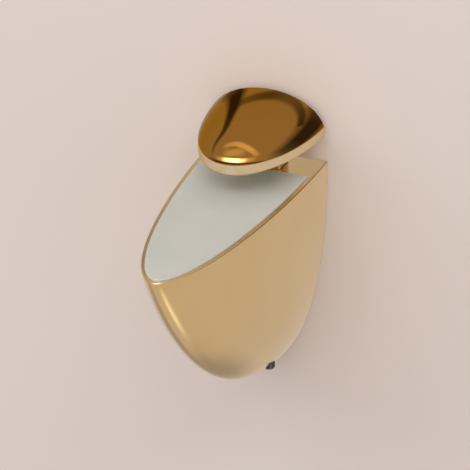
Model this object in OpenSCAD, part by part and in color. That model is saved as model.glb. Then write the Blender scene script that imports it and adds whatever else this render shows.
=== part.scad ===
// Clamp bracket that holds a flat panel by its rear edge.
// A hollow keel-shaped lower jaw hangs on a mounting plate, and a domed upper jaw is drawn down
// onto the panel by a screw that stands upright behind the panel's rear edge.
// The mounting face is the plane y = 0, and the bracket projects from it towards -Y.
// The origin is on that face, midway between the mounting plate's two holes.

/* [Panel] */
// Thickness of the panel that the jaws hold
panel_t = 6; // [5:0.5:9]
// Height of the panel's underside above the middle of the mounting plate's holes
panel_z = 28; // [26:0.5:29]
// Distance from the mounting face to the panel's rear edge
panel_gap = 9.7; // [9.5:0.1:12]

/* [Lower jaw] */
// Width at the mounting face
jaw_w = 31.8; // [31:0.2:38]
// Projection from the mounting face to the front tip
jaw_l = 80.4; // [70:0.2:95]
// Height from the flat top rim to the lowest point
jaw_h = 58.9; // [58.4:0.1:62]
// Thickness of the side wall
jaw_wall = 2.2; // [1.8:0.1:2.6]
// Thickness of the front keel, measured along the projection
keel_wall = 4; // [3:0.1:6]
// Thickness of the floor at the lowest point
floor_wall = 3.2; // [2.6:0.1:3.4]
// Thickness of the flat top deck
deck_t = 3.4; // [3:0.1:4]
// Thickness of the inner ribs and of the stem guide's walls
rib_t = 1.8; // [1.4:0.1:2]
// Projection of the middle rib under the deck
rib_l = 50; // [30:1:60]
// Depth of the middle rib below the deck
rib_h = 8; // [4:0.5:12]

/* [Upper jaw] */
// Width at the mounting face
cap_w = 30.8; // [28:0.2:38]
// Length from its rear face to the front rim
cap_l = 30.2; // [24:0.1:34]
// Height of the upright rim band
rim_h = 2.8; // [2.4:0.1:4]
// Height of the dome above the rim band
dome_h = 8.3; // [6:0.1:12]
// Gap between the rear face and the mounting face
cap_gap = 1.2; // [0.6:0.1:1.8]
// Furthest that the upper jaw closes from where it holds the panel
close = 1.5; // [0.5:0.5:2]

/* [Pads] */
// Thickness of the soft pads
pad_t = 1.6; // [1.2:0.1:2]
// Height by which the lower pad stands out of its recess
low_proud = 0.5; // [0.3:0.1:0.9]
// Height by which the upper pad stands out of its recess
up_proud = 0.7; // [0.3:0.1:0.9]
// Width of the metal rim left round the lower pad
low_rim = 1.2; // [0.9:0.1:2]
// Width of the metal rim left round the upper pad
up_rim = 1.4; // [0.9:0.1:2]
// Radius of the pegs that hold the pads
peg_r = 1.5; // [1:0.1:2]
// Length of the upper pad's pegs
up_peg_l = 2.4; // [1.5:0.1:3]

/* [Stem and guide] */
// Room on each side of the stem's guide, for a hook of the mounting plate
hook_room = 5.25; // [5:0.05:6]
// Thickness of the stem from front to back
stem_d = 7.2; // [6.6:0.1:7.3]
// Gap between the stem and the mounting face
stem_gap = 2.2; // [2:0.1:2.4]
// Reach of the stem below the panel's underside
stem_l = 24; // [20:0.5:28]
// Reach of the guide below the panel's underside
guide_l = 19; // [15:0.5:20]
// Radius of the stem's upright corners
stem_r = 1.2; // [0.6:0.1:2]

/* [Clamp screw] */
// Diameter of the thread
screw_d = 4; // [3.5:0.1:4.2]
// Length under the head
screw_l = 45; // [42:0.5:46]
// Diameter of the head
head_d = 7; // [6:0.1:7.4]
// Height of the head
head_h = 4; // [3:0.1:4.2]
// Width of the hexagon socket across its flats
socket_af = 3; // [2.5:0.1:3.4]
// Depth of the hexagon socket
socket_h = 2.2; // [1.5:0.1:2.6]
// Height of the head's end face above the jaw's lowest point
head_sink = 0.9; // [0.4:0.1:1.6]
// Thickness of the washer under the head
washer_t = 0.8; // [0.5:0.1:1]
// Thickness of the web that the washer bears on
seat_t = 3; // [2.4:0.1:4]
// Thickness of the retaining ring above the web
ring_t = 0.6; // [0.4:0.1:0.8]
// Diameter of the retaining ring
ring_d = 7.6; // [6.6:0.1:8]

/* [Mounting plate] */
// Thickness of the plate
plate_t = 1.8; // [1.5:0.1:2]
// Distance of the plate's top edge below the panel's underside
plate_top = 6.5; // [5:0.1:9]
// Distance of the plate's lower edge above the clamp screw's post
plate_foot = 3.7; // [3:0.1:5]
// Distance between its two holes, one above the other
hole_pitch = 24; // [20:0.5:26]
// Diameter of the holes
hole_d = 4.5; // [3.5:0.1:5]
// Diameter of the countersinks
sink_d = 8; // [6:0.1:8.4]
// Width of each hook and of each fork prong
hook_w = 2.8; // [2.2:0.1:3]
// Height of the hooks' upturned lips
hook_h = 4.4; // [3:0.1:5]
// Distance of the hooks' seats below the panel's underside
hook_z = 16; // [14:0.5:18]
// Reach of the fork prongs from the mounting face
fork_l = 14.5; // [13.5:0.1:15.5]

/* [Lock screws] */
// Diameter of the two grub screws under the fork
lock_d = 3; // [2.5:0.1:3]
// Length of the grub screws
lock_l = 9.1; // [8:0.1:10]
// Width of their hexagon sockets across the flats
lock_af = 1.5; // [1.2:0.1:1.6]
// Depth of the sockets
lock_socket_h = 2; // [1.2:0.1:3]

/* [Fits] */
// Gap round the stem in its guide
slide_fit = 0.15; // [0.1:0.05:0.2]
// Radial gap of the screws in their threads
thread_fit = 0.05; // [0.03:0.01:0.08]
// Radial gap of the clamp screw in its web and washer
pass_fit = 0.3; // [0.2:0.05:0.4]
// Gap round the pads in their recesses
pad_fit = 0.1; // [0.05:0.05:0.2]
// Gap between the plate's edge and the hollow round it
plate_fit = 0.8; // [0.5:0.1:1]
// Gap between a hook's lip and the lug behind it
hook_fit = 0.25; // [0.1:0.05:0.4]

/* [Hidden] */

// Roundness of each form: exponent pairs for the plan outline, the sides and the lengthwise profile
jaw_plan_power = [1.95, 1.86];
jaw_side_power = [2.32, 1.945];
jaw_keel_power = [1.10, 1.93];
cap_plan_power = [1.80, 2.02];
cap_side_power = [2.20, 2.00];
cap_keel_power = [2.60, 2.00];

// Share of the full dome form that is left off at its base, so that it leaves the rim band in a crease
dome_start = 0.28;

// Steps of the lofted surfaces: rings from the flat face to the end, and points round half an outline
outer_steps = [24, 24];
inner_steps = [12, 12];
dome_steps = [14, 22];
pad_steps = 24;

// Excess that carries a cut past the face it opens
past = 1;

// Levels, from the bottom up
rim_z = panel_z - low_proud;
deck_z = rim_z - deck_t;
foot_z = rim_z - jaw_h;
head_z = foot_z + head_sink;
under_head_z = head_z + head_h;
seat_z = under_head_z + washer_t;
post_z = seat_z + seat_t;
tip_z = under_head_z + screw_l;
cap_z = panel_z + panel_t + up_proud;
dome_z = cap_z + rim_h;

// Upright axis that the stem, its thread and the clamp screw share
axis_y = -stem_gap - stem_d / 2;

// Half widths and reaches of the hollow inside the lower jaw
hollow_w = jaw_w / 2 - jaw_wall;
hollow_l = jaw_l - keel_wall;
hollow_h = jaw_h - floor_wall;

// Stem and the guide round it, as wide as the hooks beside the guide allow
guide_w = jaw_w - 2 * (jaw_wall + hook_room + rib_t);
stem_w = guide_w - 2 * slide_fit;
guide_d = stem_d + 2 * slide_fit;
guide_front = axis_y - guide_d / 2 - rib_t;

// Post that carries the clamp screw, and the bore that its head stands in
post_wall = 1.3;
washer_r = head_d / 2 + 0.3;
head_bore_r = washer_r + pass_fit;
post_r = head_bore_r + post_wall;

// Retaining ring in its groove round the clamp screw, just above the post
ring_gap = 0.1;
groove_depth = 0.4;
ring_z = post_z + ring_gap;
groove_r = screw_d / 2 - groove_depth;
ring_mouth = 1.6 * groove_r;

// Mounting plate: its hooks stand outside the guide, and its fork has one prong on each side of the screw
plate_z = post_z + plate_foot;
plate_h = panel_z - plate_top - plate_z;
hook_gap = 0.4;
hook_x = guide_w / 2 + rib_t + hook_gap + hook_w / 2;
hook_seat_z = panel_z - hook_z;
hook_arm_t = 2.2;
lug_t = 2.4;
lip_t = 2.2;
lip_y = -plate_t - hook_fit - lug_t - hook_fit;
fork_gap = 1.2;
fork_x = screw_d / 2 + fork_gap + hook_w / 2;
fork_t = 2;
sink_h = (sink_d - hole_d) / 2;

// Lock screws: upright under the prongs' ends, tip against the fork
lock_inset = 1.4;
lock_y = -fork_l + lock_inset + lock_d / 2;
lock_z = plate_z - lock_l;
lock_post_r = lock_d / 2 + post_wall;
lock_post_gap = 1;
lock_post_z = plate_z - lock_post_gap;

// Rear edge of both pads, just in front of the stem
pad_setback = 1;
pad_rear = max(panel_gap, stem_gap + stem_d) + pad_setback;
peg_x = 5.5;
peg_back = 11;
peg_past_rib = 8;
low_pegs = [[-peg_x, -pad_rear - peg_back], [peg_x, -pad_rear - peg_back], [0, -rib_l - peg_past_rib]];
up_pegs = [for (side = [-1, 1]) [side * peg_x, -(pad_rear + cap_gap + cap_l) / 2]];

// Share of its full size that a form keeps at the fraction s of its height
function taper(s, e) = pow(1 - pow(s, e[0]), 1 / e[1]);

// Outline in plan from the right rear corner round the front to the left rear corner
function plan_point(t, w, l, e) = [w * pow(cos(t), 2 / e[1]), -l * pow(sin(t), 2 / e[0])];
function half_plan(w, l, e, n) = [for (i = [0:n]) plan_point(90 * i / n, w, l, e)];
function plan(w, l, e, n) =
    let (half = half_plan(w, l, e, n))
    concat(half, [for (i = [n - 1:-1:0]) [-half[i][0], half[i][1]]]);

// Upward loft with a flat rear face at y = 0: every level is the plan outline,
// narrowed by the side exponents and shortened by the keel exponents, and the last level is a point
module keel_loft(w, l, h, plan_e, side_e, keel_e, steps, start = 0) {
    rings = steps[0];
    n = steps[1];
    m = 2 * n + 1;
    levels = [for (k = [0:rings - 1]) start + (1 - start) * sin(90 * k / rings)];
    skin = [for (s = levels)
        for (p = plan(w * taper(s, side_e), l * taper(s, keel_e), plan_e, n)) [p[0], p[1], h * s]];
    tip = rings * m;
    flat_face = [[for (i = [m - 1:-1:0]) i]];
    rear_face = [concat([for (k = [0:rings - 1]) k * m], [tip], [for (k = [rings - 1:-1:0]) k * m + m - 1])];
    bands = [for (k = [0:rings - 2]) for (i = [0:m - 2]) for (half = [0, 1])
        let (a = k * m + i, b = a + 1, c = b + m, d = a + m)
        half == 0 ? [a, b, c] : [a, c, d]];
    crown = [for (i = [0:m - 2]) [(rings - 1) * m + i, (rings - 1) * m + i + 1, tip]];
    polyhedron(points = concat(skin, [[0, 0, h]]), faces = concat(flat_face, rear_face, bands, crown));
}

// Full form of the lower jaw, hanging from its rim
module jaw_form() {
    translate([0, 0, rim_z]) mirror([0, 0, 1])
        keel_loft(jaw_w / 2, jaw_l, jaw_h, jaw_plan_power, jaw_side_power, jaw_keel_power, outer_steps);
}

// Hollow of the lower jaw below the deck, open through the rear face
module jaw_hollow() {
    translate([0, past, rim_z]) mirror([0, 0, 1])
        keel_loft(hollow_w, hollow_l + past, hollow_h, jaw_plan_power, jaw_side_power, jaw_keel_power,
                  inner_steps, deck_t / hollow_h);
}

// Upright bar with rounded edges, centred on the clamp axis, from z0 up to z1
module rounded_bar(w, d, r, z0, z1) {
    translate([0, axis_y, z0]) linear_extrude(z1 - z0) {
        square([w - 2 * r, d], center = true);
        square([w, d - 2 * r], center = true);
        for (sx = [-1, 1], sy = [-1, 1])
            translate([sx * (w / 2 - r), sy * (d / 2 - r)]) circle(r, $fn = 32);
    }
}

// Upright cylinder at [x, y] from z0 up to z1
module rod(r, at, z0, z1, sides = 48) {
    translate([at[0], at[1], z0]) cylinder(r = r, h = z1 - z0, $fn = sides);
}

// Hexagonal key socket that opens downwards at height z
module key_socket(af, depth, at, z) {
    rod(af / sqrt(3), at, z - past, z + depth, 6);
}

// Outline of a soft pad: the jaw's own plan less a rim, cut off in front of the stem
module pad_outline(w, l, e, rear) {
    intersection() {
        polygon(plan(w, l, e, pad_steps));
        translate([-w - past, -l - past]) square([2 * (w + past), l + past - rear]);
    }
}

module low_pad_outline(gap) {
    pad_outline(jaw_w / 2 - low_rim - gap, jaw_l - low_rim - gap, jaw_plan_power, pad_rear + gap);
}

module up_pad_outline(gap) {
    translate([0, -cap_gap])
        pad_outline(cap_w / 2 - up_rim - gap, cap_l - up_rim - gap, cap_plan_power, pad_rear - cap_gap + gap);
}

// What stands inside the hollow of the lower jaw
module jaw_inner() {
    // Guide walls on three sides of the stem
    translate([-guide_w / 2 - rib_t, guide_front, panel_z - guide_l])
        cube([guide_w + 2 * rib_t, -guide_front - plate_t - hook_fit, guide_l]);
    // Lugs that hang behind the plate's hooks
    for (side = [-1, 1])
        translate([side * hook_x - hook_w / 2, -plate_t - hook_fit - lug_t, hook_seat_z])
            cube([hook_w, lug_t, hook_z]);
    // Middle rib under the deck
    translate([-rib_t / 2, -rib_l, deck_z - rib_h]) cube([rib_t, rib_l + guide_front + past, rib_h + past]);
    // Posts for the clamp screw and the two lock screws
    rod(post_r, [0, axis_y], foot_z, post_z);
    for (side = [-1, 1])
        rod(lock_post_r, [side * fork_x, lock_y], foot_z, lock_post_z);
}

module lower_jaw() {
    color([0.78, 0.64, 0.42])
    difference() {
        jaw_form();
        difference() {
            jaw_hollow();
            jaw_inner();
        }
        // Slot for the stem, through the deck and the guide
        rounded_bar(guide_w, guide_d, stem_r, panel_z - guide_l - past, rim_z + past);
        // Recess and peg holes of the pad
        translate([0, 0, panel_z - pad_t]) linear_extrude(pad_t + past) low_pad_outline(0);
        for (at = low_pegs)
            rod(peg_r + pad_fit, at, deck_z - past, rim_z);
        // Stepped bore for the clamp screw
        rod(head_bore_r, [0, axis_y], foot_z - past, seat_z);
        rod(screw_d / 2 + pass_fit, [0, axis_y], seat_z - past, post_z + past);
        // Threaded holes for the lock screws
        for (side = [-1, 1])
            rod(lock_d / 2 + thread_fit, [side * fork_x, lock_y], foot_z - past, lock_post_z + past);
    }
}

module lower_pad() {
    color([0.80, 0.83, 0.80]) {
        translate([0, 0, panel_z - pad_t]) linear_extrude(pad_t) low_pad_outline(pad_fit);
        for (at = low_pegs)
            rod(peg_r, at, deck_z, panel_z - pad_t + past / 2);
    }
}

// Dome of the upper jaw: the full form is large enough for its ring at dome_start to meet the rim band
module dome_form() {
    full_w = cap_w / 2 / taper(dome_start, cap_side_power);
    full_l = cap_l / taper(dome_start, cap_keel_power);
    full_h = dome_h / (1 - dome_start);
    translate([0, -cap_gap, dome_z - dome_start * full_h])
        keel_loft(full_w, full_l, full_h, cap_plan_power, cap_side_power, cap_keel_power,
                  dome_steps, dome_start);
}

module upper_jaw() {
    color([0.62, 0.42, 0.16])
    difference() {
        union() {
            // Rim band and dome
            translate([0, -cap_gap, cap_z]) linear_extrude(rim_h)
                polygon(plan(cap_w / 2, cap_l, cap_plan_power, dome_steps[1]));
            dome_form();
            // Stem
            rounded_bar(stem_w, stem_d, stem_r, panel_z - stem_l, cap_z + rim_h / 2);
        }
        // Threaded hole for the clamp screw
        rod(screw_d / 2 + thread_fit, [0, axis_y], panel_z - stem_l - past, tip_z + close + past);
        // Recess and peg holes of the pad
        translate([0, 0, cap_z - past]) linear_extrude(past + pad_t - up_proud) up_pad_outline(0);
        for (at = up_pegs)
            rod(peg_r + pad_fit, at, cap_z, cap_z + pad_t - up_proud + up_peg_l);
    }
}

module upper_pad() {
    color([0.86, 0.84, 0.74]) {
        translate([0, 0, panel_z + panel_t]) linear_extrude(pad_t) up_pad_outline(pad_fit);
        for (at = up_pegs)
            rod(peg_r, at, panel_z + panel_t + pad_t - past / 2, panel_z + panel_t + pad_t + up_peg_l);
    }
}

module clamp_screw() {
    color([0.55, 0.55, 0.57])
    difference() {
        union() {
            rod(head_d / 2, [0, axis_y], head_z, under_head_z);
            rod(screw_d / 2, [0, axis_y], under_head_z - past / 2, ring_z);
            rod(groove_r, [0, axis_y], ring_z - past / 2, ring_z + ring_t + past / 2);
            rod(screw_d / 2, [0, axis_y], ring_z + ring_t, tip_z);
        }
        key_socket(socket_af, socket_h, [0, axis_y], head_z);
    }
}

module clamp_washer() {
    color([0.70, 0.70, 0.72])
    difference() {
        rod(washer_r, [0, axis_y], under_head_z, seat_z);
        rod(screw_d / 2 + pass_fit, [0, axis_y], under_head_z - past, seat_z + past);
    }
}

// Ring with an open mouth that snaps into the groove from the front
module retaining_ring() {
    color([0.35, 0.35, 0.37])
    difference() {
        rod(ring_d / 2, [0, axis_y], ring_z, ring_z + ring_t);
        rod(groove_r, [0, axis_y], ring_z - past, ring_z + ring_t + past);
        translate([-ring_mouth / 2, axis_y - ring_d, ring_z - past])
            cube([ring_mouth, ring_d, ring_t + 2 * past]);
    }
}

// Upright outline of the mounting plate, kept clear of the hollow round it
function hollow_half(z) = hollow_w * taper((rim_z - z) / hollow_h, jaw_side_power) - plate_fit;
plate_rows = 12;
plate_side = [for (i = [0:plate_rows]) let (z = plate_z + plate_h * i / plate_rows) [hollow_half(z), z]];
plate_outline = concat(plate_side, [for (i = [plate_rows:-1:0]) [-plate_side[i][0], plate_side[i][1]]]);

module mounting_plate() {
    color([0.66, 0.67, 0.69])
    difference() {
        union() {
            rotate([90, 0, 0]) linear_extrude(plate_t) polygon(plate_outline);
            for (side = [-1, 1]) {
                // Hook: an arm that carries the jaw's lug, and a lip in front of it
                translate([side * hook_x - hook_w / 2, lip_y - lip_t, hook_seat_z - hook_arm_t])
                    cube([hook_w, -lip_y + lip_t - plate_t / 2, hook_arm_t]);
                translate([side * hook_x - hook_w / 2, lip_y - lip_t, hook_seat_z - hook_arm_t])
                    cube([hook_w, lip_t, hook_arm_t + hook_h]);
                // Fork prong that the lock screw bears on
                translate([side * fork_x - hook_w / 2, -fork_l, plate_z])
                    cube([hook_w, fork_l - plate_t / 2, fork_t]);
            }
        }
        // Countersunk holes, one above the other
        for (side = [-1, 1])
            translate([0, past, side * hole_pitch / 2]) rotate([90, 0, 0]) {
                cylinder(r = hole_d / 2, h = plate_t + 2 * past, $fn = 48);
                translate([0, 0, past + plate_t - sink_h])
                    cylinder(r1 = hole_d / 2, r2 = sink_d / 2 + past, h = sink_h + past, $fn = 48);
            }
    }
}

module lock_screws() {
    color([0.30, 0.30, 0.32])
    for (side = [-1, 1])
        difference() {
            rod(lock_d / 2, [side * fork_x, lock_y], lock_z, plate_z);
            key_socket(lock_af, lock_socket_h, [side * fork_x, lock_y], lock_z);
        }
}

mounting_plate();
lower_jaw();
lower_pad();
upper_jaw();
upper_pad();
clamp_screw();
clamp_washer();
retaining_ring();
lock_screws();
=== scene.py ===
"""Looks of a clamp bracket that holds a flat panel by its rear edge. Lengths are in metres."""

import math

import bmesh
import bpy
import numpy as np
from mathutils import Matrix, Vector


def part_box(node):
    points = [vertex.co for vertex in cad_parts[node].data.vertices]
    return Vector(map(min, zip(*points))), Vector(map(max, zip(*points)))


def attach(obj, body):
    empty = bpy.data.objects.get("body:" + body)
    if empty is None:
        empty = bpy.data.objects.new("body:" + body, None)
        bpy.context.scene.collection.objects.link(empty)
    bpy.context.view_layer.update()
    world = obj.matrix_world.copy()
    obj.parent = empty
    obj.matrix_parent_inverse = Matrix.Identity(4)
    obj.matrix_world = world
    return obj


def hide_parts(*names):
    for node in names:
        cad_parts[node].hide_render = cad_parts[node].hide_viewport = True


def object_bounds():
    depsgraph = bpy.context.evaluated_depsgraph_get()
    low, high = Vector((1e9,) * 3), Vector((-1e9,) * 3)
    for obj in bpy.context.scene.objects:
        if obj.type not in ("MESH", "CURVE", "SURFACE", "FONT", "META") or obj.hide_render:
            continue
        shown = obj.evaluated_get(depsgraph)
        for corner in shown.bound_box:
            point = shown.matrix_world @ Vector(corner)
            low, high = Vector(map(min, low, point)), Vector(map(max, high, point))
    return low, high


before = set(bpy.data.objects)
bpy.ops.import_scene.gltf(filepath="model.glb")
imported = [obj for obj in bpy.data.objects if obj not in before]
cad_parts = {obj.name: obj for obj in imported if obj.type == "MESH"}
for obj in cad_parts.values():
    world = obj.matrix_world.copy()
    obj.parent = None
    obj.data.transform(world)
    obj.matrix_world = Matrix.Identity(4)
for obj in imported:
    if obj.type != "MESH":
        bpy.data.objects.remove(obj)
cad_low, cad_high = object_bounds()


# Mounting plate
# The steel plate that is screwed to the mounting face, stamped and folded, then zinc plated.
# Two hooks carry the lower jaw and a fork takes the lock screws. Its cut edges are slightly eased.
MM = 0.001
plate_ease = 0.12 * MM
merge_within = 0.002 * MM
flat_deg = 1
bevel_deg = 40
crease_deg = 32


def shade(mesh):
    """Smooth shading, apart from edges where the surface turns by more than the crease angle."""
    mesh.shade_smooth()
    mesh.set_sharp_from_angle(angle=math.radians(crease_deg))


def eased_copy(node, name, width):
    """A copy of a modelled node, its loose triangles merged and its edges rounded by a narrow bevel."""
    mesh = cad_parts[node].data.copy()
    work = bmesh.new()
    work.from_mesh(mesh)
    bmesh.ops.remove_doubles(work, verts=work.verts, dist=merge_within)
    bmesh.ops.dissolve_limit(work, angle_limit=math.radians(flat_deg), verts=work.verts, edges=work.edges)
    bmesh.ops.recalc_face_normals(work, faces=work.faces)
    work.to_mesh(mesh)
    work.free()
    mesh.materials.clear()
    shade(mesh)
    piece = bpy.data.objects.new(name, mesh)
    bpy.context.scene.collection.objects.link(piece)
    bevel = piece.modifiers.new("eased edges", "BEVEL")
    bevel.width = width
    bevel.segments = 2
    bevel.limit_method = "ANGLE"
    bevel.angle_limit = math.radians(bevel_deg)
    bevel.harden_normals = True
    return piece


def finish_material(name, metallic, tone_a, tone_b, tone_size, rough, grain_size, grain_depth):
    """A surface finish on object coordinates: two tones mixed by broad soft noise of tone_size,
    roughness that drifts with it between the two values of rough, and a fine bump of grain_size."""
    material = bpy.data.materials.new(name)
    material.use_nodes = True
    nodes, links = material.node_tree.nodes, material.node_tree.links
    shader = nodes["Principled BSDF"]
    shader.inputs["Metallic"].default_value = metallic
    place = nodes.new("ShaderNodeTexCoord")
    drift = nodes.new("ShaderNodeTexNoise")
    drift.inputs["Scale"].default_value = 1 / tone_size
    drift.inputs["Detail"].default_value = 3
    links.new(place.outputs["Object"], drift.inputs["Vector"])
    tone = nodes.new("ShaderNodeValToRGB")
    tone.color_ramp.elements[0].position = 0.35
    tone.color_ramp.elements[0].color = (*tone_a, 1)
    tone.color_ramp.elements[1].position = 0.65
    tone.color_ramp.elements[1].color = (*tone_b, 1)
    links.new(drift.outputs["Fac"], tone.inputs["Fac"])
    links.new(tone.outputs["Color"], shader.inputs["Base Color"])
    gloss = nodes.new("ShaderNodeMapRange")
    gloss.inputs["From Min"].default_value = 0.3
    gloss.inputs["From Max"].default_value = 0.7
    gloss.inputs["To Min"].default_value = rough[0]
    gloss.inputs["To Max"].default_value = rough[1]
    links.new(drift.outputs["Fac"], gloss.inputs["Value"])
    links.new(gloss.outputs["Result"], shader.inputs["Roughness"])
    grain = nodes.new("ShaderNodeTexNoise")
    grain.inputs["Scale"].default_value = 1 / grain_size
    grain.inputs["Detail"].default_value = 4
    links.new(place.outputs["Object"], grain.inputs["Vector"])
    bump = nodes.new("ShaderNodeBump")
    bump.inputs["Strength"].default_value = 1
    bump.inputs["Distance"].default_value = grain_depth
    links.new(grain.outputs["Fac"], bump.inputs["Height"])
    links.new(bump.outputs["Normal"], shader.inputs["Normal"])
    return material


def settle(piece, material, body, slot, *nodes):
    """Gives a finished piece its material and the body it moves with, and hides the nodes it stands for.
    The slot is not used.
    """
    piece.data.materials.clear()
    piece.data.materials.append(material)
    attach(piece, body)
    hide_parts(*nodes)


zinc = finish_material("zinc_plating", metallic=1, tone_a=(0.52, 0.53, 0.54),
                       tone_b=(0.64, 0.65, 0.67), tone_size=6 * MM, rough=(0.30, 0.42),
                       grain_size=0.5 * MM, grain_depth=0.012 * MM)
plate = eased_copy("mounting_plate", "mounting_plate_part", plate_ease)
settle(plate, zinc, "bracket", "plated_steel", "mounting_plate")


# Lower jaw
# The hollow die-cast body, polished and plated in pale gold. It hangs on the mounting plate's hooks
# and is open at the rear. Posts, a guide and a middle rib stand inside the shell.
jaw_low, jaw_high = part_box("lower_jaw")
jaw_half = jaw_high.x
jaw_reach = -jaw_low.y
jaw_top = jaw_high.z
jaw_height = jaw_high.z - jaw_low.z
jaw_plan = (1.95, 1.86)
jaw_side = (2.32, 1.945)
jaw_keel = (1.10, 1.93)
side_wall = 2.2 * MM
keel_wall = 4 * MM
floor_wall = 3.2 * MM
deck = 3.4 * MM
rim_ease = 0.35 * MM
past = 1 * MM
outline_columns = 160
level_rows = 90
corner_steps = 7
weld_within = 0.0005 * MM


def taper(depth, form):
    """Share of the full size that is left at a share of the depth: one minus the depth to the
    first power, all to one over the second."""
    return (1 - np.clip(depth, 0, 1) ** form[0]) ** (1 / form[1])


def half_oval(half, reach, form):
    """Outline from above, from the right rear corner round the front to the left one: x is half the
    width times the cosine to the power 2/b, and y is minus the reach times the sine to the power 2/a."""
    turn = np.linspace(0, math.pi, outline_columns)
    across = np.cos(turn)
    x = half * np.sign(across) * np.abs(across) ** (2 / form[1])
    y = -reach * np.abs(np.sin(turn)) ** (2 / form[0])
    return np.stack([x, y], axis=-1)


def keel_rings(half, reach, height, plan, side, keel, ease, start=0.0):
    """Rings of a solid with a flat rear face and a flat top, as rows by columns by xyz, from the top down
    to a point. Each ring is the half oval, narrowed by the side form and shortened by the keel form,
    and the first rings round the top edge with a quarter circle of radius ease."""
    corner = np.linspace(0, math.pi / 2, corner_steps) if ease else np.zeros(1)
    inset = ease * (1 - np.sin(corner)) if ease else np.zeros(1)
    drop = ease * (1 - np.cos(corner)) if ease else np.zeros(1)
    first = math.asin(min(1, (start * height + ease) / height))
    depth = height * np.sin(np.linspace(first, math.pi / 2, level_rows))
    depth = np.concatenate([start * height + drop[:-1], depth]) if ease else depth
    inset = np.concatenate([inset[:-1], np.zeros(level_rows)]) if ease else np.zeros(level_rows)
    rings = [np.column_stack([half_oval(max(half * taper(d / height, side) - i, 0),
                                        max(reach * taper(d / height, keel) - i, 0), plan),
                              np.full(outline_columns, -d)]) for d, i in zip(depth, inset)]
    return np.array(rings)


def ring_solid(name, rings):
    """A closed solid through rings of points, given as rows by columns by xyz. Quads join neighbouring
    rings, one face closes each end, and rings that shrink to a point become a pole."""
    rows, columns, _ = rings.shape
    index = np.arange(rows * columns).reshape(rows, columns)
    beside = np.roll(index, -1, axis=1)
    quads = np.stack([index[:-1], beside[:-1], beside[1:], index[1:]], axis=-1).reshape(-1, 4)
    mesh = bpy.data.meshes.new(name)
    mesh.from_pydata(rings.reshape(-1, 3), [], quads.tolist() + [index[0].tolist(), index[-1].tolist()])
    work = bmesh.new()
    work.from_mesh(mesh)
    bmesh.ops.remove_doubles(work, verts=work.verts, dist=weld_within)
    bmesh.ops.recalc_face_normals(work, faces=work.faces)
    work.to_mesh(mesh)
    work.free()
    shade(mesh)
    piece = bpy.data.objects.new(name, mesh)
    bpy.context.scene.collection.objects.link(piece)
    return piece


def upright(outline, low, high):
    """An upright prism of an outline between two heights."""
    return ring_solid("prism", np.array([np.column_stack([outline, np.full(len(outline), z)])
                                         for z in (low, high)]))


def block(low, high):
    """A box between two corners."""
    outline = np.array([[low[0], low[1]], [high[0], low[1]], [high[0], high[1]], [low[0], high[1]]])
    return upright(outline, low[2], high[2])


def round_bar(radius, x, y, low, high, columns=64):
    """An upright cylinder."""
    turn = np.linspace(0, 2 * math.pi, columns, endpoint=False)
    return upright(np.column_stack([x + radius * np.cos(turn), y + radius * np.sin(turn)]), low, high)


def stem_outline(width, depth, radius, y, columns=12):
    """A rectangle with rounded corners, centred at y: each corner is a quarter circle of the radius."""
    turn = np.linspace(0, math.pi / 2, columns)
    arc = radius * np.column_stack([np.cos(turn), np.sin(turn)])
    centre = np.array([width / 2 - radius, depth / 2 - radius])
    first = arc + centre
    flip_x, flip_y = np.array([-1, 1]), np.array([1, -1])
    loop = [first, (first * flip_x)[::-1], first * flip_x * flip_y, (first * flip_y)[::-1]]
    return np.concatenate(loop) + np.array([0, y])


def combine(body, tools, how="DIFFERENCE"):
    """Takes the tool solids from the body, or joins them to it, one after another."""
    for tool in tools:
        step = body.modifiers.new("combine", "BOOLEAN")
        step.operation = how
        step.solver = "MANIFOLD"
        step.object = tool
    bpy.context.view_layer.update()
    made = bpy.data.meshes.new_from_object(body.evaluated_get(bpy.context.evaluated_depsgraph_get()))
    body.modifiers.clear()
    body.data = made
    for tool in tools:
        bpy.data.objects.remove(tool)
    return body


# The same levels and places as in the solids, from the lower jaw's top rim down
low_pad_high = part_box("lower_pad")[1]
panel_z = low_pad_high.z
screw_low, screw_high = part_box("clamp_screw")
washer_low, washer_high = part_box("clamp_washer")
lock_low, lock_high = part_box("lock_screws")
plate_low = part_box("mounting_plate")[0]
axis_y = (screw_low.y + screw_high.y) / 2
stem_width, stem_depth, stem_round = 13 * MM, 7.2 * MM, 1.2 * MM
slide_fit = 0.15 * MM
rib = 1.8 * MM
rib_reach = 50 * MM
rib_depth = 8 * MM
guide_width = stem_width + 2 * slide_fit
guide_depth = stem_depth + 2 * slide_fit
guide_front = axis_y - guide_depth / 2 - rib
guide_length = 19 * MM
guide_low = panel_z - guide_length
lug_rear = -2.05 * MM
lug_depth = 2.4 * MM
lug_length = 16 * MM
lug_low = panel_z - lug_length
hook_width = 2.8 * MM
hook_gap = 0.4 * MM
hook_x = guide_width / 2 + rib + hook_gap + hook_width / 2
lock_radius = 1.5 * MM
lock_x = (lock_high.x - lock_low.x) / 2 - lock_radius
lock_y = (lock_low.y + lock_high.y) / 2
lock_bore = 1.55 * MM
lock_post = 2.8 * MM
head_gap = 0.3 * MM
head_bore = washer_high.x + head_gap
post_wall = 1.3 * MM
screw_bore = 2.3 * MM
seat_thick = 3 * MM
post_top = washer_high.z + seat_thick
deck_under = jaw_top - deck

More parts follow.
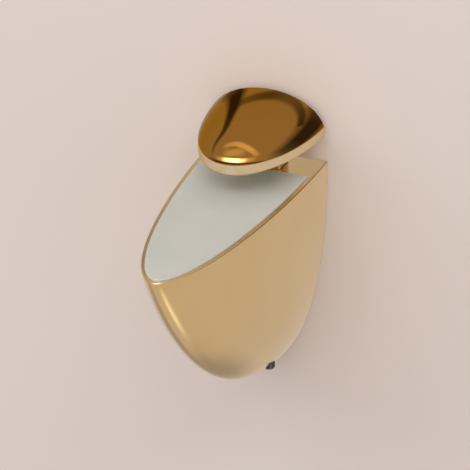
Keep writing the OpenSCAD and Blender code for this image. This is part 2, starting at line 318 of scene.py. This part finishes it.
hollow = ring_solid("hollow", keel_rings(jaw_half - side_wall, jaw_reach - keel_wall + past,
                                         jaw_height - floor_wall, jaw_plan, jaw_side, jaw_keel,
                                         0, start=deck / (jaw_height - floor_wall))
                    + np.array([0, past, jaw_top]))
inner = [
    block((-guide_width / 2 - rib, guide_front, guide_low), (guide_width / 2 + rib, lug_rear, panel_z)),
    block((-rib / 2, -rib_reach, deck_under - rib_depth), (rib / 2, guide_front + past, panel_z)),
    round_bar(head_bore + post_wall, 0, axis_y, jaw_low.z - past, post_top),
]
for side in (-1, 1):
    inner.append(block((side * hook_x - hook_width / 2, lug_rear - lug_depth, lug_low),
                       (side * hook_x + hook_width / 2, lug_rear, panel_z)))
    inner.append(round_bar(lock_post, side * lock_x, lock_y, jaw_low.z - past, plate_low.z - past))
combine(hollow, inner)


def pad_outline(half, reach, form, rear):
    """The half oval cut off straight at the rear: points behind the cut are moved onto it."""
    outline = half_oval(half, reach, form)
    cut = 1 - (-rear / reach) ** form[0]
    edge_x = half * cut ** (1 / form[1])
    kept = outline[outline[:, 1] < rear]
    return np.concatenate([[[edge_x, rear]], kept, [[-edge_x, rear]]])


pad_fit = 0.1 * MM
pad_thick = 1.6 * MM
low_pad_rim = 1.2 * MM
low_pad_half = jaw_half - low_pad_rim
low_pad_reach = jaw_reach - low_pad_rim
low_pad_rear = low_pad_high.y + pad_fit
peg_radius = 1.5 * MM
peg_side = 5.5 * MM
peg_inset = 11 * MM
front_peg = 58 * MM
low_pegs = [(-peg_side, low_pad_rear - peg_inset), (peg_side, low_pad_rear - peg_inset), (0, -front_peg)]

lower_jaw = ring_solid("lower_jaw_casting", keel_rings(jaw_half, jaw_reach, jaw_height, jaw_plan,
                                                       jaw_side, jaw_keel, rim_ease)
                       + np.array([0, 0, jaw_top]))
cuts = [
    hollow,
    upright(stem_outline(guide_width, guide_depth, stem_round, axis_y), guide_low - past, jaw_top + past),
    upright(pad_outline(low_pad_half, low_pad_reach, jaw_plan, low_pad_rear), panel_z - pad_thick,
            panel_z + past),
    round_bar(head_bore, 0, axis_y, jaw_low.z - past, washer_high.z),
    round_bar(screw_bore, 0, axis_y, washer_high.z - past, post_top + past),
]
for peg_x, peg_y in low_pegs:
    cuts.append(round_bar(peg_radius + pad_fit, peg_x, peg_y, deck_under - past, panel_z))
for side in (-1, 1):
    cuts.append(round_bar(lock_bore, side * lock_x, lock_y, jaw_low.z - past, plate_low.z + past))
combine(lower_jaw, cuts)
shade(lower_jaw.data)
pale_gold = finish_material("pale_gold_plating", metallic=1, tone_a=(0.80, 0.575, 0.27),
                            tone_b=(0.84, 0.615, 0.30), tone_size=25 * MM, rough=(0.16, 0.22),
                            grain_size=1.6 * MM, grain_depth=0.008 * MM)
settle(lower_jaw, pale_gold, "bracket", "gold_body", "lower_jaw")


# Lower pad
# A soft milky plastic pad that lies in a recess of the deck, so that metal never touches the panel.
# It is moulded with round edges, and its pegs stand in holes of the deck.
pad_round = 0.4 * MM
pad_steps = 6


def soft_pad(name, half, reach, form, rear, low, high, forward=0.0):
    """A pad with its upper and lower edges rounded: rings of the pad outline, drawn in at both
    heights by a quarter circle."""
    corner = np.linspace(0, math.pi / 2, pad_steps)
    inset = pad_round * (1 - np.sin(corner))
    level = pad_round * (1 - np.cos(corner))
    steps = [(i, low + d) for i, d in zip(inset, level)]
    steps += [(i, high - d) for i, d in zip(inset[::-1], level[::-1])]
    count = len(pad_outline(half, reach, form, rear))
    rings = []
    for i, z in steps:
        outline = pad_outline(half - i, reach - i, form, rear - i)
        spread = np.linspace(0, len(outline) - 1, count)
        even = np.column_stack([np.interp(spread, np.arange(len(outline)), outline[:, k]) for k in (0, 1)])
        rings.append(np.column_stack([even[:, 0], even[:, 1] - forward, np.full(count, z)]))
    return ring_solid(name, np.array(rings))


def milky_plastic(name, tone_a, tone_b):
    """Soft milky plastic: the common finish, with a little light passing under its surface."""
    material = finish_material(name, metallic=0, tone_a=tone_a, tone_b=tone_b, tone_size=12 * MM,
                               rough=(0.38, 0.48), grain_size=0.4 * MM, grain_depth=0.008 * MM)
    shader = material.node_tree.nodes["Principled BSDF"]
    shader.inputs["Subsurface Weight"].default_value = 0.25
    shader.inputs["Subsurface Radius"].default_value = (1.6, 1.7, 1.5)
    shader.inputs["Subsurface Scale"].default_value = 0.6 * MM
    return material


lower_pad = soft_pad("lower_pad_moulding", low_pad_half - pad_fit, low_pad_reach - pad_fit, jaw_plan,
                     low_pad_high.y, panel_z - pad_thick, panel_z)
combine(lower_pad, [round_bar(peg_radius, x, y, deck_under, panel_z - pad_thick / 2) for x, y in low_pegs],
        "UNION")
shade(lower_pad.data)
milky_grey = milky_plastic("milky_grey_plastic", (0.58, 0.60, 0.55), (0.62, 0.63, 0.58))
settle(lower_pad, milky_grey, "bracket", "clear_pad", "lower_pad")


# Screws
# Steel screws with hexagon sockets. The long clamp screw turns in the jaw's post and draws the upper
# jaw's stem down, and two short lock screws press against the plate's fork from below.
screw_columns = 48
rings_per_pitch = 8


def screw_solid(name, x, y, stations, pitch):
    """An upright screw. Each station is (height, radius, share of hexagon, thread depth), and between
    stations the values change evenly. Where the thread depth is above zero, the radius falls and rises
    by it once a pitch along the axis, and the whole wave shifts by one pitch a turn."""
    heights, radii, hexes, threads = (np.array(column, float) for column in zip(*stations))
    parts = []
    for k in range(len(stations) - 1):
        threaded = max(threads[k], threads[k + 1]) > 0
        span = abs(heights[k + 1] - heights[k])
        count = max(2, int(span / pitch * rings_per_pitch)) if threaded else 1
        parts.append(k + np.arange(count) / count)
    step = np.append(np.concatenate(parts), len(stations) - 1)
    order = np.arange(len(stations))
    z, r, h, d = (np.interp(step, order, v)[:, None] for v in (heights, radii, hexes, threads))
    turn = np.linspace(0, 2 * math.pi, screw_columns, endpoint=False)[None, :]
    sector = np.mod(turn, math.pi / 3) - math.pi / 6
    hexagon = math.cos(math.pi / 6) / np.cos(sector)
    wave = np.abs(np.mod(z / pitch - turn / (2 * math.pi), 1) * 2 - 1)
    radius = r * (1 - h + h * hexagon) - d * wave
    rings = np.stack([x + radius * np.cos(turn), y + radius * np.sin(turn), z + 0 * turn], axis=-1)
    return ring_solid(name, rings)


head_radius = screw_high.x
head_round = 0.3 * MM
head_ease = 0.1 * MM
under_head = washer_low.z
clamp_key = 3 * MM
socket_corner = clamp_key / math.sqrt(3)
socket_tip = 2.6 * MM
socket_floor = 2.2 * MM
socket_lip = 0.15 * MM
socket_flare = 0.1 * MM
clamp_radius = 2 * MM
ring_low, ring_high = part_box("retaining_ring")
groove_radius = 1.6 * MM
thread_length = 22 * MM
thread_low = screw_high.z - thread_length
clamp_pitch = 0.7 * MM
clamp_thread = 0.43 * MM
clamp_tip = 0.4 * MM
clamp_tip_inset = 0.45 * MM
foot = screw_low.z
clamp_screw = screw_solid("clamp_screw_part", 0, axis_y, [
    (foot + socket_tip, 0, 0, 0),
    (foot + socket_floor, socket_corner, 1, 0),
    (foot + socket_lip, socket_corner, 1, 0),
    (foot, socket_corner + socket_flare, 0, 0),
    (foot, head_radius - head_round, 0, 0),
    (foot + head_ease, head_radius - head_ease, 0, 0),
    (foot + head_round, head_radius, 0, 0),
    (under_head - head_ease, head_radius, 0, 0),
    (under_head, head_radius - head_ease, 0, 0),
    (under_head, clamp_radius, 0, 0),
    (ring_low.z, clamp_radius, 0, 0),
    (ring_low.z, groove_radius, 0, 0),
    (ring_high.z, groove_radius, 0, 0),
    (ring_high.z, clamp_radius, 0, 0),
    (thread_low, clamp_radius, 0, 0),
    (thread_low + clamp_pitch, clamp_radius, 0, clamp_thread),
    (screw_high.z - clamp_tip, clamp_radius, 0, clamp_thread),
    (screw_high.z, clamp_radius - clamp_tip_inset, 0, 0),
    (screw_high.z, 0, 0, 0),
], clamp_pitch)
screw_steel = finish_material("screw_steel", metallic=1, tone_a=(0.42, 0.42, 0.43),
                              tone_b=(0.52, 0.52, 0.54), tone_size=3 * MM, rough=(0.25, 0.36),
                              grain_size=0.3 * MM, grain_depth=0.006 * MM)
settle(clamp_screw, screw_steel, "screw", "screw_steel", "clamp_screw")

black_steel = finish_material("blackened_steel", metallic=1, tone_a=(0.13, 0.12, 0.11),
                              tone_b=(0.19, 0.18, 0.17), tone_size=2 * MM, rough=(0.32, 0.45),
                              grain_size=0.3 * MM, grain_depth=0.006 * MM)
lock_key = 1.5 * MM
lock_corner = lock_key / math.sqrt(3)
lock_socket_tip = 2.3 * MM
lock_socket_floor = 2 * MM
lock_lip = 0.1 * MM
lock_flare = 0.08 * MM
lock_chamfer = 0.3 * MM
lock_thread = 0.25 * MM
lock_point = 0.8 * MM
lock_point_inset = 0.5 * MM
lock_pitch = 0.5 * MM
lock_stations = [
    (lock_low.z + lock_socket_tip, 0, 0, 0),
    (lock_low.z + lock_socket_floor, lock_corner, 1, 0),
    (lock_low.z + lock_lip, lock_corner, 1, 0),
    (lock_low.z, lock_corner + lock_flare, 0, 0),
    (lock_low.z, lock_radius - lock_thread, 0, 0),
    (lock_low.z + lock_chamfer, lock_radius, 0, lock_thread),
    (lock_high.z - lock_point, lock_radius, 0, lock_thread),
    (lock_high.z, lock_radius - lock_point_inset, 0, 0),
    (lock_high.z, 0, 0, 0),
]
lock_right = screw_solid("lock_screw_right", lock_x, lock_y, lock_stations, lock_pitch)
lock_left = screw_solid("lock_screw_left", -lock_x, lock_y, lock_stations, lock_pitch)
settle(lock_right, black_steel, "bracket", "black_steel", "lock_screws")
settle(lock_left, black_steel, "bracket", "black_steel", "lock_screws")


# Washer and retaining ring
# A plated washer lies between the clamp screw's head and its seat, and a sprung open ring in the
# screw's groove keeps the screw in place, so that turning it back lifts the upper jaw.
washer_ease = 0.08 * MM
ring_ease = 0.06 * MM
washer = eased_copy("clamp_washer", "clamp_washer_part", washer_ease)
settle(washer, zinc, "bracket", "washer_steel", "clamp_washer")
ring = eased_copy("retaining_ring", "retaining_ring_part", ring_ease)
settle(ring, black_steel, "screw", "spring_steel", "retaining_ring")


# Upper jaw
# The domed cap with an upright rim band, die-cast in one piece with the stem behind the panel and
# polished to a mirror. The stem slides in the guide and is threaded for the clamp screw.
cap_low, cap_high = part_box("upper_jaw")
cap_pad_low, cap_pad_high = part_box("upper_pad")
cap_half = cap_high.x
cap_rear = cap_high.y
cap_reach = cap_high.y - cap_low.y
cap_plan = (1.80, 2.02)
cap_side = (2.20, 2.00)
cap_keel = (2.60, 2.00)
dome_start = 0.28
band = 2.8 * MM
dome = 8.3 * MM
cap_under = cap_high.z - dome - band
crease_z = cap_under + band
crease_round = 0.2 * MM
crease_turn = 0.02
foot_ease = 0.7 * MM


def cap_rings():
    """Rings from the underside up: a rounded lower edge, the upright band, a narrowly rounded crease, and
    the dome. The dome is the part of a larger form above the share dome_start of its height, and the
    sine of an even turn, which begins crease_turn past the crease, sets its levels."""
    corner = np.linspace(0, math.pi / 2, corner_steps)
    rows = [(foot_ease * (1 - math.sin(a)), cap_under + foot_ease * (1 - math.cos(a))) for a in corner]
    rows.append((0, crease_z - crease_round))
    rings = [np.column_stack([half_oval(cap_half - i, cap_reach - i, cap_plan),
                              np.full(outline_columns, z)]) for i, z in rows]
    full_half = cap_half / taper(dome_start, cap_side)
    full_reach = cap_reach / taper(dome_start, cap_keel)
    full_height = dome / (1 - dome_start)
    first = math.asin(dome_start) + crease_turn
    for rise in np.sin(np.linspace(first, math.pi / 2, level_rows)):
        outline = half_oval(full_half * taper(rise, cap_side), full_reach * taper(rise, cap_keel), cap_plan)
        z = crease_z + full_height * (rise - dome_start)
        rings.append(np.column_stack([outline, np.full(outline_columns, z)]))
    return np.array(rings) + np.array([0, cap_rear, 0])


upper_jaw = ring_solid("upper_jaw_casting", cap_rings())
combine(upper_jaw, [upright(stem_outline(stem_width, stem_depth, stem_round, axis_y), cap_low.z,
                            cap_under + band / 2)], "UNION")
stem_bore = 2.05 * MM
bore_room = 2.5 * MM
up_pad_rim = 1.4 * MM
up_pad_half = cap_half - up_pad_rim
up_pad_reach = cap_reach - up_pad_rim
up_pad_rear = cap_pad_high.y + pad_fit - cap_rear
up_pegs = [(side * peg_side, (cap_pad_high.y + pad_fit + cap_low.y) / 2) for side in (-1, 1)]
pad_top = cap_pad_low.z + pad_thick
peg_top = cap_pad_high.z
recess = upright(pad_outline(up_pad_half, up_pad_reach, cap_plan, up_pad_rear) + np.array([0, cap_rear]),
                 cap_under - past, pad_top)
bores = [round_bar(peg_radius + pad_fit, x, y, cap_under, peg_top) for x, y in up_pegs]
bores.append(round_bar(stem_bore, 0, axis_y, cap_low.z - past, screw_high.z + bore_room))
combine(upper_jaw, [recess, *bores])
shade(upper_jaw.data)


def gold_with_painted_dome_shade(name, split_z, band_tone, soft):
    """The gold of the dome above a height, darkened to a deep gold as painted shade for the dark
    surroundings it reflects, and a paler gold below it, close to the plating's own tone: a ramp over the
    object's z that passes from one to the other within a narrow soft step."""
    # The dome's deep gold is painted shade: the plating made darker for the dark surroundings that the
    # mirror dome reflects.
    material = finish_material(name, metallic=1, tone_a=(0.40, 0.19, 0.035),
                               tone_b=(0.45, 0.23, 0.05), tone_size=30 * MM, rough=(0.05, 0.08),
                               grain_size=2.5 * MM, grain_depth=0.002 * MM)
    nodes, links = material.node_tree.nodes, material.node_tree.links
    shader = nodes["Principled BSDF"]
    shader.inputs["Specular Tint"].default_value = (0.80, 0.62, 0.42, 1)
    dome_colour = shader.inputs["Base Color"].links[0].from_socket
    dome_gloss = shader.inputs["Roughness"].links[0].from_socket
    place = nodes.new("ShaderNodeTexCoord")
    parts = nodes.new("ShaderNodeSeparateXYZ")
    links.new(place.outputs["Object"], parts.inputs["Vector"])
    above = nodes.new("ShaderNodeMapRange")
    above.inputs["From Min"].default_value = split_z - soft
    above.inputs["From Max"].default_value = split_z + soft
    links.new(parts.outputs["Z"], above.inputs["Value"])
    colour = nodes.new("ShaderNodeMix")
    colour.data_type = "RGBA"
    colour.inputs["A"].default_value = (*band_tone, 1)
    links.new(above.outputs["Result"], colour.inputs["Factor"])
    links.new(dome_colour, colour.inputs["B"])
    links.new(colour.outputs["Result"], shader.inputs["Base Color"])
    gloss = nodes.new("ShaderNodeMix")
    gloss.inputs["A"].default_value = 0.24
    links.new(above.outputs["Result"], gloss.inputs["Factor"])
    links.new(dome_gloss, gloss.inputs["B"])
    links.new(gloss.outputs["Result"], shader.inputs["Roughness"])
    return material


# The dome is darkened as painted shade, and the band keeps a paler gold close to the plating's own tone.
shaded_mirror_gold = gold_with_painted_dome_shade("mirror_gold_with_painted_shade", split_z=crease_z, band_tone=(0.90, 0.72, 0.45),
                            soft=0.04 * MM)
settle(upper_jaw, shaded_mirror_gold, "upper", "gold_cap", "upper_jaw")


# Upper pad
# A thin pad like the lower one, in a recess of the cap's underside, held by two pegs. It shows only
# as a pale line under the rim.
upper_pad = soft_pad("upper_pad_moulding", up_pad_half - pad_fit, up_pad_reach - pad_fit, cap_plan,
                     up_pad_rear - pad_fit, cap_pad_low.z, pad_top, forward=-cap_rear)
combine(upper_pad, [round_bar(peg_radius, x, y, pad_top - pad_thick / 2, peg_top) for x, y in up_pegs],
        "UNION")
shade(upper_pad.data)
milky_cream = milky_plastic("milky_cream_plastic", (0.66, 0.63, 0.52), (0.70, 0.67, 0.57))
settle(upper_pad, milky_cream, "upper", "cream_pad", "upper_pad")


# Studio
# A plain pale floor and backdrop, a wide soft lamp high in front and a weak one at the left, a few bent
# boards that show only in polished surfaces, and the camera at the photograph's viewing angle.
backdrop_tone = (0.83, 0.765, 0.725)
backdrop_y = 0.0004
sheet_side = 3
sheet_top = 3
floor_front = -4
floor_z = -0.16
middle = np.array((cad_low + cad_high) / 2)


def plain_sheet(name, corners, tone):
    """A flat sheet of one pale tone that only the camera sees, and that is clear from behind."""
    mesh = bpy.data.meshes.new(name)
    mesh.from_pydata(corners, [], [(0, 1, 2, 3)])
    piece = bpy.data.objects.new(name, mesh)
    bpy.context.scene.collection.objects.link(piece)
    material = bpy.data.materials.new(name)
    material.use_nodes = True
    nodes, links = material.node_tree.nodes, material.node_tree.links
    shader = nodes["Principled BSDF"]
    shader.inputs["Base Color"].default_value = (*tone, 1)
    shader.inputs["Roughness"].default_value = 0.9
    shader.inputs["Specular IOR Level"].default_value = 0.1
    side = nodes.new("ShaderNodeNewGeometry")
    clear = nodes.new("ShaderNodeBsdfTransparent")
    mix = nodes.new("ShaderNodeMixShader")
    links.new(side.outputs["Backfacing"], mix.inputs["Fac"])
    links.new(shader.outputs["BSDF"], mix.inputs[1])
    links.new(clear.outputs["BSDF"], mix.inputs[2])
    links.new(mix.outputs["Shader"], nodes["Material Output"].inputs["Surface"])
    mesh.materials.append(material)
    piece.visible_diffuse = False
    piece.visible_glossy = False
    piece.visible_transmission = False
    piece.visible_shadow = False


meeting_line = [(-sheet_side, backdrop_y, floor_z), (sheet_side, backdrop_y, floor_z)]
plain_sheet("backdrop", [*meeting_line, (sheet_side, backdrop_y, sheet_top),
                         (-sheet_side, backdrop_y, sheet_top)], backdrop_tone)
plain_sheet("floor", [(-sheet_side, floor_front, floor_z), (sheet_side, floor_front, floor_z),
                      *meeting_line[::-1]], backdrop_tone)


def towards(azimuth, elevation):
    """Unit vectors for angles in degrees: azimuth 0 points at the mounting face and 90 to the right, and
    elevation is measured up from level."""
    turn, rise = np.radians(azimuth), np.radians(elevation)
    return np.stack([np.sin(turn) * np.cos(rise), np.cos(turn) * np.cos(rise), np.sin(rise)], axis=-1)


def soft_lamp(name, place, width, height, power):
    """A rectangular area lamp at a place given from the object's middle, which it looks at."""
    data = bpy.data.lights.new(name, "AREA")
    data.shape = "RECTANGLE"
    data.size = width
    data.size_y = height
    data.energy = power
    lamp = bpy.data.objects.new(name, data)
    lamp.location = middle + place
    lamp.rotation_euler = Vector(-place).to_track_quat("-Z", "Y").to_euler()
    lamp.visible_glossy = False
    bpy.context.scene.collection.objects.link(lamp)


soft_lamp("front_lamp", 1.1 * towards(178, 53), width=1.3, height=0.26, power=4.2)
soft_lamp("left_lamp", 1.2 * towards(-120, 30), width=0.5, height=0.5, power=1.5)

board_distance = 0.6
line_points = 97
across_points = 17
smoothing_passes = 60
edge_share = 0.6


def reflected_board(name, course, half_width, tone):
    """A long bent board that shows only in polished surfaces. Its middle line runs smoothly along the
    course, points of (azimuth, elevation, weight) in degrees on a sphere about the object. Every point
    across it lies beside that line by an angle of up to the half width. The weight is how solid the
    board is there, and it fades out towards its edges."""
    azimuth, elevation, weight = np.array(course, float).T
    stations = towards(azimuth, elevation)
    step = np.linspace(0, len(stations) - 1, line_points)
    line = np.stack([np.interp(step, np.arange(len(stations)), stations[:, k]) for k in range(3)], axis=-1)
    for _ in range(smoothing_passes):
        line[1:-1] = (line[:-2] + 2 * line[1:-1] + line[2:]) / 4
    line /= np.linalg.norm(line, axis=-1, keepdims=True)
    beside = np.cross(line, np.gradient(line, axis=0))
    beside /= np.linalg.norm(beside, axis=-1, keepdims=True)
    share = np.linspace(-1, 1, across_points)
    turn = (math.radians(half_width) * share)[None, :, None]
    points = middle + board_distance * (line[:, None] * np.cos(turn) + beside[:, None] * np.sin(turn))
    index = np.arange(line_points * across_points).reshape(line_points, across_points)
    quads = np.stack([index[:-1, :-1], index[:-1, 1:], index[1:, 1:], index[1:, :-1]], axis=-1)
    mesh = bpy.data.meshes.new(name)
    mesh.from_pydata(points.reshape(-1, 3), [], quads.reshape(-1, 4).tolist())
    across = np.clip((1 - np.abs(share)) / edge_share, 0, 1)[None, :]
    along = np.interp(step, np.arange(len(stations)), weight)[:, None]
    fade = mesh.attributes.new("fade", "FLOAT", "POINT")
    fade.data.foreach_set("value", (across * along).ravel())
    board = bpy.data.objects.new(name, mesh)
    bpy.context.scene.collection.objects.link(board)
    material = bpy.data.materials.new(name)
    material.use_nodes = True
    nodes, links = material.node_tree.nodes, material.node_tree.links
    glow = nodes.new("ShaderNodeEmission")
    glow.inputs["Color"].default_value = (*tone, 1)
    clear = nodes.new("ShaderNodeBsdfTransparent")
    strength = nodes.new("ShaderNodeAttribute")
    strength.attribute_name = "fade"
    mix = nodes.new("ShaderNodeMixShader")
    links.new(strength.outputs["Fac"], mix.inputs["Fac"])
    links.new(clear.outputs["BSDF"], mix.inputs[1])
    links.new(glow.outputs["Emission"], mix.inputs[2])
    links.new(mix.outputs["Shader"], nodes["Material Output"].inputs["Surface"])
    mesh.materials.append(material)
    board.visible_camera = False
    board.visible_diffuse = False
    board.visible_transmission = False
    board.visible_shadow = False


dark_tone = (0.06, 0.05, 0.05)
reflected_board("dark_board_right",
                [(20, 14, 0.8), (36, 15, 1), (52, 14, 1), (68, 12, 0.8), (88, 10, 0)],
                half_width=22, tone=dark_tone)
reflected_board("dark_arch_left",
                [(-30, 0, 0.6), (-31, 14, 1), (-34, 29, 1), (-44, 41, 0.9), (-57, 43, 0.8),
                 (-74, 36, 0.6), (-89, 28, 0.4), (-100, 20, 0)],
                half_width=5, tone=dark_tone)
reflected_board("dark_arch_top",
                [(-32, 26, 0.5), (-15, 32, 0.8), (0, 35, 0.6), (19, 34, 0.8), (38, 30, 0.9)],
                half_width=4, tone=dark_tone)
reflected_board("pale_arch_above",
                [(-85, 56, 0), (-75, 64, 0.5), (-57, 72, 0.7), (-28, 80, 0.9), (77, 74, 1),
                 (95, 48, 0.6), (96, 38, 0)],
                half_width=6, tone=(1.6, 1.5, 1.4))
reflected_board("pale_board_above",
                [(-100, 56, 0), (-130, 68, 1), (150, 80, 1), (120, 62, 0)],
                half_width=14, tone=(1.15, 1.08, 1.0))
reflected_board("white_board_front",
                [(-106, 26, 0), (-130, 41, 0.05), (-153, 48, 0.4), (-175, 51, 1), (162, 51, 1),
                 (144, 47, 0.4), (122, 42, 0.05), (100, 33, 0)],
                half_width=10, tone=(18, 18, 26))
reflected_board("dark_board_front",
                [(-84, 0, 0), (-119, 20, 1), (-150, 30, 1), (180, 34, 1), (150, 31, 1),
                 (125, 23, 1), (105, 15, 1), (88, 6, 0)],
                half_width=10, tone=dark_tone)
reflected_board("white_board_below",
                [(150, -78, 0), (110, -78, 1), (60, -78, 1), (42, -75, 0)],
                half_width=6, tone=(1.4, 1.3, 1.15))
reflected_board("grey_board_below",
                [(-90, -40, 0), (-60, -52, 1), (-20, -56, 1), (12, -60, 1), (38, -62, 0)],
                half_width=16, tone=(0.38, 0.34, 0.32))

world = bpy.data.worlds.new("studio")
bpy.context.scene.world = world
world.use_nodes = True
air = world.node_tree.nodes["Background"]
air.inputs["Color"].default_value = (0.64, 0.58, 0.55, 1)
air.inputs["Strength"].default_value = 1

view_azimuth = math.radians(20.6)
view_elevation = math.radians(25.9)
view_distance = 1.075
focal_pixels = 4300
picture_pixels = 470
sensor_width = 36
aim_right, aim_up = 5.5 * MM, 13.5 * MM
back = np.array([math.sin(view_azimuth) * math.cos(view_elevation),
                 -math.cos(view_azimuth) * math.cos(view_elevation), math.sin(view_elevation)])
right = np.array([math.cos(view_azimuth), math.sin(view_azimuth), 0])
lens = bpy.data.cameras.new("camera")
lens.sensor_width = sensor_width
lens.lens = focal_pixels / picture_pixels * sensor_width
camera = bpy.data.objects.new("camera", lens)
camera.location = middle + back * view_distance + right * aim_right + np.cross(back, right) * aim_up
camera.rotation_euler = Vector(-back).to_track_quat("-Z", "Y").to_euler()
bpy.context.scene.collection.objects.link(camera)
bpy.context.scene.camera = camera
bpy.context.scene.view_settings.view_transform = "Standard"
